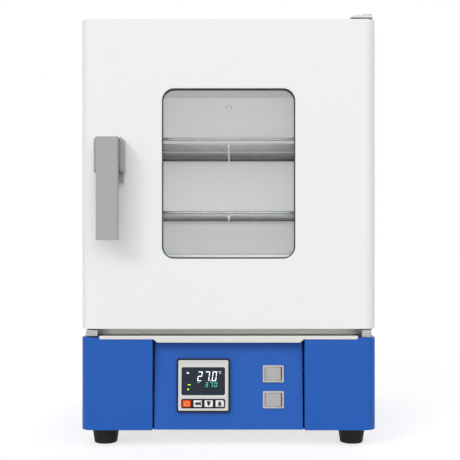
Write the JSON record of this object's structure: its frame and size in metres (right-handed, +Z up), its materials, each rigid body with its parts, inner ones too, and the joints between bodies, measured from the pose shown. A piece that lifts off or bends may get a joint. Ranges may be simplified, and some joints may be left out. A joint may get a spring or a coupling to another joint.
{
  "type": "bench drying oven",
  "caption": "Small bench drying oven: a white box with a glazed hinged door and lever latch over a blue base with a leaning control panel.",
  "frame": {"origin": "on the bench under the middle of the whole outline", "axes": "+X to the oven's right as seen from the front, +Y to its back, +Z up"},
  "size_m": [0.4, 0.456, 0.589],
  "materials": {
    "blue_paint": "fine satin powder coat",
    "white_paint": "fine satin powder coat",
    "stainless": "brushed stainless sheet",
    "liner_steel": "bright satin stainless sheet",
    "zinc_sheet": "plain zinc-coated sheet",
    "shelf_wire": "polished stainless wire",
    "heater_tube": "dark oxidised heater sheath",
    "screw_steel": "plain steel fasteners",
    "hinge_chrome": "plated steel",
    "handle_metal": "grey matt enamelled casting",
    "foot_rubber": "moulded rubber",
    "gasket_rubber": "black rubber",
    "silicone": "translucent pale silicone",
    "mineral_wool": "pressed mineral wool board",
    "clear_glass": "clear toughened glass",
    "black_plastic": "moulded black",
    "silver_plastic": "fine silver paint",
    "display_glass": "dark gloss window",
    "dark_strip": "dark gloss",
    "orange_key": "moulded",
    "white_key": "moulded",
    "switch_plastic": "grey moulded",
    "vent_polymer": "white heat-proof polymer",
    "bush_polymer": "white bearing polymer",
    "brass_pins": "nickel-plated brass"
  },
  "bodies": {
    "cabinet": {"base_shell": "blue_paint", "control_panel": "blue_paint", "base_floor": "zinc_sheet", "base_back_panel": "zinc_sheet", "threshold_plate": "stainless", "controller_case": "black_plastic", "controller_bezel": "silver_plastic", "display_window": "display_glass", "key_strip": "dark_strip", "controller_clamp": "black_plastic", "switch_bezel_lower": "switch_plastic", "switch_bezel_upper": "switch_plastic", "relay": "black_plastic", "mains_inlet": "black_plastic", "inlet_pins": "brass_pins", "foot_front_left": "foot_rubber", "foot_front_right": "foot_rubber", "foot_back_left": "foot_rubber", "foot_back_right": "foot_rubber", "cabinet_shell": "white_paint", "front_frame": "stainless", "strike_plate": "stainless", "chamber_liner": "liner_steel", "insulation": "mineral_wool", "cabinet_back_panel": "white_paint", "heater_element": "heater_tube", "heater_brackets": "stainless", "floor_plate": "liner_steel", "shelf_rails": "liner_steel", "sensor_probe": "stainless", "vent_bush": "vent_polymer", "vent_flange": "stainless", "damper_screw": "screw_steel", "cabinet_screws": "screw_steel", "hinge_plate_top": "hinge_chrome", "hinge_block_bottom": "hinge_chrome"},
    "door": {"door_skin": "white_paint", "door_inner": "stainless", "window_gasket": "gasket_rubber", "outer_glass": "clear_glass", "inner_glass": "clear_glass", "window_spacer": "stainless", "door_seal": "silicone", "latch_guide": "zinc_sheet", "door_insulation": "mineral_wool", "hinge_bushes": "bush_polymer", "handle_housing": "handle_metal", "lever_pin": "screw_steel"},
    "lever": {"handle_lever": "handle_metal"},
    "latch": {"latch_bar": "stainless"},
    "key_power_body": {"key_power": "orange_key"},
    "key_shift_body": {"key_shift": "white_key"},
    "key_down_body": {"key_down": "white_key"},
    "key_up_body": {"key_up": "white_key"},
    "rocker_lower_body": {"rocker_lower": "switch_plastic"},
    "rocker_upper_body": {"rocker_upper": "switch_plastic"},
    "shelf_lower_body": {"shelf_lower": "shelf_wire"},
    "shelf_upper_body": {"shelf_upper": "shelf_wire"},
    "damper": {"vent_damper": "stainless"}
  },
  "joints": [
    {"name": "door_hinge", "type": "hinge", "parent": "cabinet", "child": "door", "pos_m": [0.189, -0.177, 0.15], "axis": [0, 0, 1], "range_deg": [0, 115]},
    {"name": "handle_lift", "type": "hinge", "parent": "door", "child": "lever", "pos_m": [-0.1589, -0.208, 0.402], "axis": [-1, 0, 0], "range_deg": [0, 25], "stiffness_Nm_per_rad": 1.2, "springref_deg": -14.32},
    {"name": "latch_slide", "type": "slide", "parent": "door", "child": "latch", "axis": [0, 0, -1], "range_m": [0, 0.01025]},
    {"name": "key_power_press", "type": "slide", "parent": "cabinet", "child": "key_power_body", "axis": [0, 0.9953, -0.0969], "range_m": [0, 0.0006], "stiffness_N_per_m": 900, "springref_m": -0.0002},
    {"name": "key_shift_press", "type": "slide", "parent": "cabinet", "child": "key_shift_body", "axis": [0, 0.9953, -0.0969], "range_m": [0, 0.0006], "stiffness_N_per_m": 900, "springref_m": -0.0002},
    {"name": "key_down_press", "type": "slide", "parent": "cabinet", "child": "key_down_body", "axis": [0, 0.9953, -0.0969], "range_m": [0, 0.0006], "stiffness_N_per_m": 900, "springref_m": -0.0002},
    {"name": "key_up_press", "type": "slide", "parent": "cabinet", "child": "key_up_body", "axis": [0, 0.9953, -0.0969], "range_m": [0, 0.0006], "stiffness_N_per_m": 900, "springref_m": -0.0002},
    {"name": "rocker_lower_tip", "type": "hinge", "parent": "cabinet", "child": "rocker_lower_body", "pos_m": [0.0608, -0.1799, 0.06528], "axis": [0, 0.0969, 0.9953], "range_deg": [0, 12]},
    {"name": "rocker_upper_tip", "type": "hinge", "parent": "cabinet", "child": "rocker_upper_body", "pos_m": [0.0608, -0.17652, 0.09998], "axis": [0, 0.0969, 0.9953], "range_deg": [0, 12]},
    {"name": "shelf_lower_slide", "type": "slide", "parent": "cabinet", "child": "shelf_lower_body", "axis": [0, -1, 0], "range_m": [0, 0.008]},
    {"name": "shelf_upper_slide", "type": "slide", "parent": "cabinet", "child": "shelf_upper_body", "axis": [0, -1, 0], "range_m": [0, 0.008]},
    {"name": "vent_damper_turn", "type": "hinge", "parent": "cabinet", "child": "damper", "pos_m": [0.022, 0.2163, 0.518], "axis": [0, 1, 0], "range_deg": [0, 90]}
  ],
  "couplings": [
    {"joint": "latch_slide", "follows": "handle_lift", "m_per_rad": 0.023439}
  ]
}
